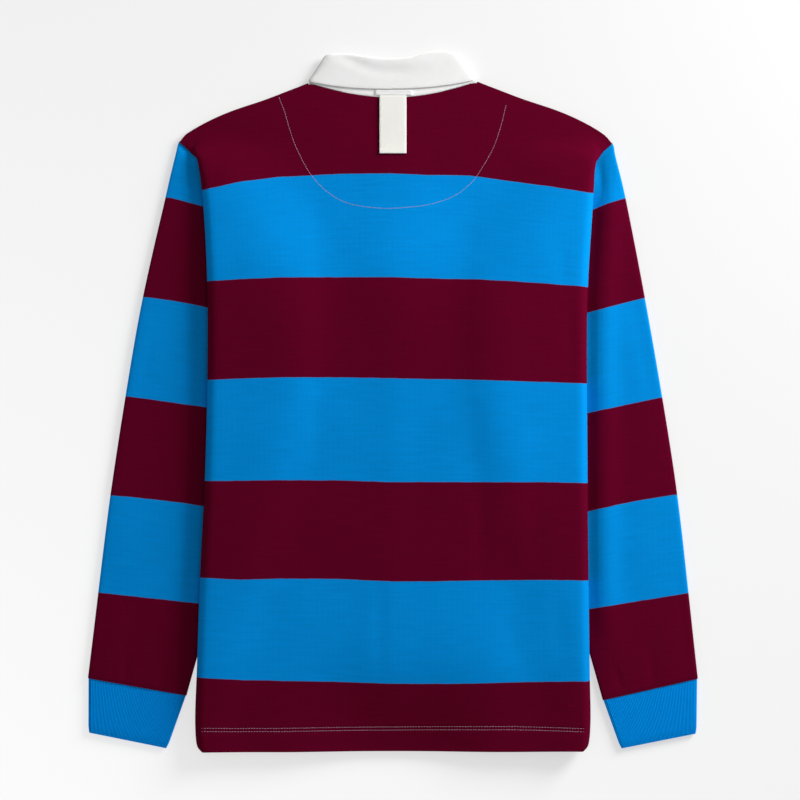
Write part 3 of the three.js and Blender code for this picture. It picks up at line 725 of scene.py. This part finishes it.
# Sleeves: long flattened tubes that run under the body
sleeves = {
    "waveSize": 38 * mm,
    "waveDepth": 0.3 * mm,
    "topFrom": (1.6 * mm, 3.4 * mm),
    "besideEnds": (0.2, 0.25),
    "leftFill": {"rise": 1.95 * mm, "starts": (-4 * mm, 2 * mm), "ends": (3 * mm, 22 * mm)},
    "rightBulge": {"rise": 3.7 * mm, "past": 18 * mm, "wide": 14 * mm, "starts": (-2 * mm, 12 * mm),
                   "cuffEnds": (-0.29, -0.2)},
    "creases": [
        (-262, 40, 80, 60, 8, -0.4, 0),
        (-238, -252, 78, 30, 6, -0.5, 0),
        (-284, -285, 86, 18, 5, -0.6, 0),
        (-246, -296, 74, 14, 4, -0.6, 0),
        (276, -286, 96, 18, 5, -0.6, 0),
        (240, -296, 108, 14, 4, -0.6, 0),
        (308, -230, 96, 40, 6, -0.4, 0),
        (266, 60, 100, 60, 8, -0.4, 0),
        (221, 241, 96, 24, 5, -1.3, 0),
    ],
}


# how far a point of a sleeve lies beyond the body's folded edge
def pastBody(side, x, y):
    column = 1 if side == "left" else 2
    return np.abs(x) - np.interp(y, edgeRows[:, 0], edgeRows[:, column])


# the armhole's seam on each side by its outer end and its bend, in mm, and how the sleeve's end fills it
armhole = {
    "left": [(-227.3, 277.2), (-208.4, 256.1)],
    "right": [(232.2, 277.2), (215.6, 256.1)],
    "reach": 1.1 * mm,
    "reachBelow": 4 * mm,
    "reachPast": 8 * mm,
    "bendReach": 3.2 * mm,
    "bendWide": 6 * mm,
    "flat": 0.2,
    "flatBelow": 9 * mm,
    "lift": {"left": 3.4 * mm, "right": 0},  # fills the fold's start below the shoulder
    "liftIn": 3 * mm,
    "liftWide": 8 * mm,
    "liftFrom": (1.2 * mm, 2.4 * mm),
}


# the end of a sleeve reaches a little under the shoulder, so the seam is shut
def closeArmhole(side, points):
    outer, bend = [np.array(p) * mm for p in armhole[side]]
    way = (bend - outer) / np.linalg.norm(bend - outer)
    toBody = np.array([-way[1], way[0]]) * (1 if side == "left" else -1)
    plan = points[:, :2] - outer
    along = plan @ way
    below = -(plan @ toBody)
    span = np.linalg.norm(bend - outer)
    near = 1 - ease(below, 0, armhole["reachBelow"])
    near *= 1 - ease(along, span, span + armhole["reachPast"])
    corner = nearShare(np.linalg.norm(points[:, :2] - bend, axis=1), 0, armhole["bendWide"])
    reach = armhole["reach"] * near + armhole["bendReach"] * corner
    points[:, :2] += toBody * reach[:, None]
    points[:, 2] *= 1 - armhole["flat"] * (1 - ease(below, 0, armhole["flatBelow"]))
    fromBend = np.linalg.norm(points[:, :2] - bend - toBody * armhole["liftIn"], axis=1)
    lift = armhole["lift"][side] * nearShare(fromBend, 0, armhole["liftWide"])
    points[:, 2] += lift * ease(points[:, 2], *armhole["liftFrom"])


def sleevePiece(side):
    piece = copyOf("sleeve_" + side, side + "Sleeve", 3)
    points = pointsOf(piece)
    x, y = points[:, 0], points[:, 1]
    top = ease(points[:, 2], *sleeves["topFrom"])
    past = pastBody(side, x, y)
    beside = 1 - ease(y, *sleeves["besideEnds"])
    if side == "left":
        fill = sleeves["leftFill"]
        share = ease(past, *fill["starts"]) * (1 - ease(past, *fill["ends"]))
        points[:, 2] += top * beside * fill["rise"] * share
    else:
        bulge = sleeves["rightBulge"]
        share = nearShare(past, bulge["past"], bulge["wide"]) * ease(past, *bulge["starts"])
        points[:, 2] += top * beside * bulge["rise"] * share * ease(y, *bulge["cuffEnds"])
    points[:, 2] += top * creaseRise(sleeves["creases"], x, y)
    points[:, 2] += top * softWaves(x, y, sleeves["waveSize"], sleeves["waveDepth"], 5.2)
    closeArmhole(side, points)
    pullShoulders(points)
    setPoints(piece, points)
    roundRim(piece)
    mapSleeve(piece, side)
    smoothShade(piece)
    paint(piece, finishes["jersey"])
    return piece


leftSleeve = sleevePiece("left")
rightSleeve = sleevePiece("right")
print("sleeves made")

# Cuffs: fine ribs all round a flattened tube, knitted tighter than the sleeve
cuffs = {
    "ribPitch": 1.8 * mm,
    "ribDepth": 0.42 * mm,
    "ribFlat": 0.6,
    "pointsPerRib": 6,
    "turns": 10,  # steps round each end
    "wall": 1.3 * mm,
    "top": 5.2 * mm,
    "rows": 16,
    "clothLong": 0.06,
    "lip": 0.35,  # the wrist's edge closes by this share
    "lipShort": 16,
    "left": {"seamOuter": (-324.5, -295.4), "seamInner": (-220.4, -313.8),
             "wristOuter": (-324.7, -353.6), "wristInner": (-240.6, -370.6)},
    "right": {"seamOuter": (324.5, -295.7), "seamInner": (224.2, -318.7),
              "wristOuter": (323.8, -354.7), "wristInner": (242.9, -370.8)},
}


def cuffPiece(side):
    size = cuffs[side]
    ribsAcross = round(abs(size["seamOuter"][0] - size["seamInner"][0]) * mm / cuffs["ribPitch"])
    flat = ribsAcross * cuffs["pointsPerRib"]
    half = flat + cuffs["turns"]
    radius = cuffs["top"] / 2
    around = 2 * half
    points, across, along, heights = [], [], [], []
    for layer in (0, 1):  # the outside, then the inside
        for row in range(cuffs["rows"] + 1):
            down = row / cuffs["rows"]
            outer = Vector(size["seamOuter"]).lerp(Vector(size["wristOuter"]), down) * mm
            inner = Vector(size["seamInner"]).lerp(Vector(size["wristInner"]), down) * mm
            way = (inner - outer).normalized()
            length = (inner - outer).length - 2 * radius
            start = outer + way * radius
            lip = 1 - cuffs["lip"] * math.exp(-((1 - down) * cuffs["lipShort"]) ** 2)
            for k in range(around):
                lower = k >= half
                step = k - half if lower else k
                phase = k / cuffs["pointsPerRib"]
                ribShape = abs(math.sin(math.pi * phase)) ** cuffs["ribFlat"]
                if step < flat:
                    spot = start + way * length * (step / flat if not lower else 1 - step / flat)
                    normal = Vector((0, 0, -1 if lower else 1))
                    base = Vector((spot.x, spot.y, radius)) + normal * radius * lip
                else:
                    angle = math.pi * (step - flat) / cuffs["turns"]
                    turned = -1 if lower else 1
                    outward = Vector((way.x, way.y, 0)) * turned
                    centre = start + way * length * (0 if lower else 1)
                    normal = outward * math.sin(angle) + Vector((0, 0, turned * math.cos(angle)))
                    base = Vector((centre.x, centre.y, radius)) + normal * radius * lip
                depth = cuffs["ribDepth"] * (1 - ribShape) if layer == 0 else cuffs["wall"]
                points.append(base - normal * depth)
                across.append(k * cuffs["ribPitch"] / cuffs["pointsPerRib"])
                along.append(down * cuffs["clothLong"])
                heights.append(ribShape if layer == 0 else 0.0)
    faces = []
    rowsAll = cuffs["rows"] + 1
    flip = side == "right"

    def ident(layer, row, k):
        return (layer * rowsAll + row) * around + k % around

    def quad(a, b, c, d):
        faces.append((a, b, c, d) if not flip else (d, c, b, a))

    for row in range(cuffs["rows"]):
        for k in range(around):
            quad(ident(0, row, k), ident(0, row + 1, k), ident(0, row + 1, k + 1), ident(0, row, k + 1))
            quad(ident(1, row, k), ident(1, row, k + 1), ident(1, row + 1, k + 1), ident(1, row + 1, k))
    for k in range(around):
        quad(ident(0, 0, k), ident(0, 0, k + 1), ident(1, 0, k + 1), ident(1, 0, k))
        last = cuffs["rows"]
        quad(ident(0, last, k), ident(1, last, k), ident(1, last, k + 1), ident(0, last, k + 1))
    piece = meshPiece(side + "Cuff", points, faces)
    # the ribs' height, which the rib material also uses to paint shade into the grooves
    attribute = piece.data.attributes.new("ribHeight", "FLOAT", "POINT")
    attribute.data.foreach_set("value", heights)
    setClothMap(piece, np.array(across), np.array(along))
    smoothShade(piece, 60)
    paint(piece, finishes["rib"])
    return piece


leftCuff = cuffPiece("left")
rightCuff = cuffPiece("right")
print("cuffs made:", len(leftCuff.data.polygons), "faces each")

# Collar, its tab and the placket under the shirt
collarLook = {
    "topFrom": (6.2 * mm, 7.4 * mm),
    "creases": [
        (-40, 360, -20, 22, 5, -0.9, 0),
        (-2, 352, 0, 22, 6, -0.9, 0),
        (-62, 362, 30, 16, 7, 0.6, 0),
        (40, 360, 12, 26, 7, 0.4, 0),
    ],
}


def collarPiece():
    piece = copyOf("collar", "collarTwillPiece")
    points = pointsOf(piece)
    top = ease(points[:, 2], *collarLook["topFrom"])
    points[:, 2] += top * creaseRise(collarLook["creases"], points[:, 0], points[:, 1])
    setPoints(piece, points)
    roundRim(piece)
    smoothShade(piece)
    paint(piece, finishes["collarTwill"])
    return piece


collar = collarPiece()
trimRim = 0.25 * mm


def trimPiece(node, name, finish):
    piece = copyOf(node, name)
    roundRim(piece, trimRim)
    smoothShade(piece)
    paint(piece, finishes[finish])
    return piece


neckTab = trimPiece("neck_tab", "neckTab", "tabTwill")
tabRoot = trimPiece("tab_root", "tabRootPatch", "collarTwill")
placket = trimPiece("placket", "frontPlacket", "collarTwill")
print("collar, tab and placket made")

# Buttons: flat rubber discs with a raised rim and four holes
buttonLook = {
    "around": 48,
    "rim": 1.1 * mm,
    "slope": 0.35 * mm,
    "dish": 0.35 * mm,
    "softEdge": 0.3 * mm,
    "hole": 0.7 * mm,
    "holePitch": 2.6 * mm,
    "drillLong": 6 * mm,
}


def buttonPiece(node, name):
    low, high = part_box(node)
    centre = (low + high) / 2
    radius = (high.x - low.x) / 2
    deselectAll()
    bpy.ops.mesh.primitive_cylinder_add(vertices=buttonLook["around"], radius=radius, depth=high.z - low.z,
                                        location=centre)
    piece = bpy.context.view_layer.objects.active
    piece.name = name
    bpy.ops.object.transform_apply(location=True, rotation=True, scale=True)
    bpy.ops.object.mode_set(mode="EDIT")
    bpy.ops.mesh.select_mode(type="FACE")
    bpy.ops.mesh.select_all(action="DESELECT")
    bpy.ops.object.mode_set(mode="OBJECT")
    for face in piece.data.polygons:
        face.select = face.normal.z < -0.9
    bpy.ops.object.mode_set(mode="EDIT")
    bpy.ops.mesh.inset(thickness=buttonLook["rim"])
    bpy.ops.mesh.inset(thickness=buttonLook["slope"])
    bpy.ops.transform.translate(value=(0, 0, buttonLook["dish"]))
    bpy.ops.object.mode_set(mode="OBJECT")
    bevel = piece.modifiers.new("soft edge", "BEVEL")
    bevel.width = buttonLook["softEdge"]
    bevel.segments = 3
    bevel.limit_method = "ANGLE"
    bevel.angle_limit = math.radians(35)
    applyAll(piece)
    for dx in (-0.5, 0.5):
        for dy in (-0.5, 0.5):
            place = centre + Vector((dx, dy, 0)) * buttonLook["holePitch"]
            bpy.ops.mesh.primitive_cylinder_add(vertices=16, radius=buttonLook["hole"],
                                                depth=buttonLook["drillLong"], location=place)
            drill = bpy.context.view_layer.objects.active
            cut = piece.modifiers.new("hole", "BOOLEAN")
            cut.operation = "DIFFERENCE"
            cut.object = drill
            applyAll(piece)
            bpy.data.objects.remove(drill, do_unlink=True)
    smoothShade(piece, 40)
    paint(piece, finishes["rubber"])
    return piece


buttonNodes = [n for n in sorted(frame["nodes"]) if n.startswith("button_")]
buttons = [buttonPiece(node, "rubberButton" + str(k + 1)) for k, node in enumerate(buttonNodes)]
print("buttons made:", len(buttons))

# Sewing: one stitch is modelled, then laid along every row
sewing = {
    "stitchLong": 2.3 * mm,
    "pitch": 2.9 * mm,
    "wide": 0.62 * mm,
    "tall": 0.45 * mm,
    "sunk": 0.06 * mm,
    "highestStep": 1.2 * mm,  # no stitch is laid where the cloth steps more
    "hemMarks": 60,
}


def oneStitch():
    deselectAll()
    bpy.ops.mesh.primitive_uv_sphere_add(segments=8, ring_count=6, radius=1)
    stitch = bpy.context.view_layer.objects.active
    stitch.rotation_euler = (0, math.pi / 2, 0)
    bpy.ops.object.transform_apply(location=False, rotation=True, scale=False)
    stitch.scale = (sewing["stitchLong"] / 2, sewing["wide"] / 2, sewing["tall"] / 2)
    bpy.ops.object.transform_apply(location=False, rotation=False, scale=True)
    points = pointsOf(stitch)
    faces = [tuple(f.vertices) for f in stitch.data.polygons]
    bpy.data.objects.remove(stitch, do_unlink=True)
    return points, faces


stitchPoints, stitchFaces = oneStitch()


def evenSteps(path, pitch):
    path = np.array(path, float)
    lengths = np.concatenate([[0], np.cumsum(np.linalg.norm(np.diff(path, axis=0), axis=1))])
    count = max(int(lengths[-1] / pitch), 2)
    marks = np.linspace(0, lengths[-1], count + 1)
    return np.stack([np.interp(marks, lengths, path[:, k]) for k in range(path.shape[1])], axis=1)


def smoothPath(path, perSpan=8):
    path = [Vector(p) for p in path]
    found = []
    for k in range(len(path) - 1):
        before = path[max(k - 1, 0)]
        after = path[min(k + 2, len(path) - 1)]
        for step in range(perSpan):
            t = step / perSpan
            a, b = path[k], path[k + 1]
            m0, m1 = (b - before) / 2, (after - a) / 2
            spot = a * (2 * t ** 3 - 3 * t ** 2 + 1) + m0 * (t ** 3 - 2 * t ** 2 + t)
            found.append(spot + b * (3 * t ** 2 - 2 * t ** 3) + m1 * (t ** 3 - t ** 2))
    return found + [path[-1]]


def stitchRow(name, paths, trees, fromAbove=True, thread="mauveThread", pitch=sewing["pitch"]):
    points, faces = [], []
    for path in paths:
        marks = evenSteps([tuple(p) for p in path], pitch)
        for a, b in zip(marks[:-1], marks[1:]):
            ends = []
            for spot in (a, b):
                found = [heightAt(tree, spot[0], spot[1], fromAbove) for tree in trees]
                found = [f for f in found if f is not None]
                ends.append((max(found) if fromAbove else min(found)) if found else None)
            if None in ends or abs(ends[0] - ends[1]) > sewing["highestStep"]:
                continue
            way = -1 if fromAbove else 1
            start = Vector((a[0], a[1], ends[0] + way * sewing["sunk"]))
            end = Vector((b[0], b[1], ends[1] + way * sewing["sunk"]))
            along = (end - start).normalized()
            across = Vector((-along.y, along.x, 0)).normalized()
            up = along.cross(across)
            middle = (start + end) / 2
            first = len(points)
            for p in stitchPoints:
                points.append(middle + along * p[0] + across * p[1] + up * p[2])
            faces += [tuple(first + i for i in f) for f in stitchFaces]
    piece = meshPiece(name, points, faces)
    smoothShade(piece, 180)
    paint(piece, finishes[thread])
    return piece


# the half moon sewn behind the neck, a wide curve below the collar, in mm
halfMoon = [(-121.5, 323.5), (-115.5, 307.9), (-108.8, 285.4), (-102, 267.5), (-87.8, 241.3),
            (-68.4, 221.2), (-47.4, 210.0), (-17.6, 205.0), (7.5, 205.0), (37.3, 208.5), (62.8, 216.7),
            (79.2, 227.9), (89.7, 239.8), (106.1, 267.5), (115.1, 292.9), (120.6, 315.3)]
backTree = treeOf(back)
frontTree = treeOf(front)
stations = np.linspace(-body["hemEnd"], body["hemEnd"], sewing["hemMarks"])
hemPaths = [[(x, hoopEdge("hem", x) + row) for x in stations] for row in body["hemRows"]]
hemStitches = stitchRow("hemStitches", hemPaths, [backTree])
moonPath = smoothPath([Vector((x * mm, y * mm)) for x, y in halfMoon])
moonStitches = stitchRow("halfMoonStitches", [moonPath], [backTree], pitch=2.6 * mm)
frontStitches = stitchRow("frontHemStitches", hemPaths, [frontTree, backTree], fromAbove=False)
print("hem and half moon sewn")


def boxPath(node, inset):
    low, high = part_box(node)
    left, right = low.x + inset, high.x - inset
    bottom, top = low.y + inset, high.y - inset
    return [(left, bottom), (right, bottom), (right, top), (left, top), (left, bottom)]


placketStitches = stitchRow("placketStitches", [boxPath("placket", inset=2.5 * mm)], [treeOf(placket)],
                            fromAbove=False, thread="whiteThread", pitch=2.6 * mm)
rootStitches = stitchRow("tabRootStitches", [boxPath("tab_root", inset=1.3 * mm)], [treeOf(tabRoot)],
                         thread="whiteThread", pitch=2.4 * mm)
print("placket and tab sewn")

# every piece rides on the shirt and stands for its solid
roles = [
    (back, "back", "jersey_knit"),
    (front, "front", "jersey_knit"),
    (leftSleeve, "sleeve_left", "jersey_knit"),
    (rightSleeve, "sleeve_right", "jersey_knit"),
    (leftCuff, "cuff_left", "cuff_rib"),
    (rightCuff, "cuff_right", "cuff_rib"),
    (collar, "collar", "collar_twill"),
    (neckTab, "neck_tab", "tab_twill"),
    (tabRoot, "tab_root", "collar_twill"),
    (placket, "placket", "collar_twill"),
    (hemStitches, None, "jersey_knit"),
    (moonStitches, None, "jersey_knit"),
    (frontStitches, None, "jersey_knit"),
    (placketStitches, None, "collar_twill"),
    (rootStitches, None, "collar_twill"),
]
roles += [(button, node, "button_rubber") for button, node in zip(buttons, buttonNodes)]
for piece, node, slot in roles:
    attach(piece, "root")
    if node:
        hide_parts(node)


# square metres of one side of a closed wall
def clothArea(piece):
    return sum(f.area for f in piece.data.polygons) / 2


for piece in (back, front, leftSleeve, rightSleeve, leftCuff, rightCuff, collar, neckTab, placket):
    print("area of one side of", piece.name, round(clothArea(piece), 4))

# floor, light and camera
studio = {
    "floor": "b0b0b0",
    "floorWide": 8,
    "floorDrop": 0.2 * mm,
    "floorGrain": 900,
    "floorBump": {"Strength": 0.03, "Distance": 0.05 * mm},
    "floorGlow": 0.51,
    "floorGlowSlope": (-0.2, -0.18, 0),  # its change a metre, against the slope of the light from above
    "cameraX": 7.6 * mm,
    "cameraY": 0.74 * mm,
    "cameraHeight": 2.6,
    "frameWidth": 0.852,
    "garmentTop": 6 * mm,
    "sensor": 36,
    "world": 0.36,
    "overhead": {"place": (-0.1, 0.3, 3.3), "size": 2.6, "power": 8},
    "key": {"place": (1.6, 1.2, 0.84), "size": 0.9, "power": 65},
}


def floorPiece():
    deselectAll()
    bpy.ops.mesh.primitive_plane_add(size=studio["floorWide"], location=(0, 0, -studio["floorDrop"]))
    floor = bpy.context.view_layer.objects.active
    floor.name = "paleFloor"
    material, tree = emptyMaterial("backlitOpalTable")
    place = addNode(tree, "ShaderNodeTexCoord")
    grain = addNode(tree, "ShaderNodeTexNoise", {"Scale": studio["floorGrain"], "Detail": 2},
                    {"Vector": place.outputs["Object"]})
    bump = addNode(tree, "ShaderNodeBump", studio["floorBump"], {"Height": grain.outputs[0]})
    slope = addNode(tree, "ShaderNodeVectorMath", {"operation": "DOT_PRODUCT", 1: studio["floorGlowSlope"]},
                    {0: place.outputs["Object"]})
    glow = addMath(tree, "ADD", {0: slope.outputs["Value"]}, {1: studio["floorGlow"]})
    addShader(tree, {"Base Color": linear(studio["floor"]), "Roughness": 0.95, "Specular IOR Level": 0.05,
               "Emission Color": (1, 1, 1, 1)},
              {"Normal": bump.outputs[0], "Emission Strength": glow.outputs[0]})
    paint(floor, material)


def softLight(name, look):
    data = bpy.data.lights.new(name, "AREA")
    data.shape = "SQUARE"
    data.size = look["size"]
    data.energy = look["power"]
    lamp = bpy.data.objects.new(name, data)
    lamp.location = look["place"]
    lamp.rotation_euler = (-Vector(look["place"])).to_track_quat("-Z", "Y").to_euler()
    bpy.context.scene.collection.objects.link(lamp)


def camera():
    data = bpy.data.cameras.new("overheadCamera")
    data.sensor_width = studio["sensor"]
    distance = studio["cameraHeight"] - studio["garmentTop"]
    data.lens = studio["sensor"] * distance / studio["frameWidth"]
    eye = bpy.data.objects.new("overheadCamera", data)
    eye.location = (studio["cameraX"], studio["cameraY"], studio["cameraHeight"])
    bpy.context.scene.collection.objects.link(eye)
    bpy.context.scene.camera = eye


floorPiece()
softLight("overheadSoftbox", studio["overhead"])
softLight("keySoftbox", studio["key"])
camera()
world = bpy.data.worlds.new("paleRoom")
world.use_nodes = True
world.node_tree.nodes.clear()
glow = addNode(world.node_tree, "ShaderNodeBackground",
               {"Color": (1, 1, 1, 1), "Strength": studio["world"]})
addNode(world.node_tree, "ShaderNodeOutputWorld", links={"Surface": glow.outputs[0]})
bpy.context.scene.world = world
bpy.context.scene.view_settings.view_transform = "Standard"
print("floor, lights and camera made")
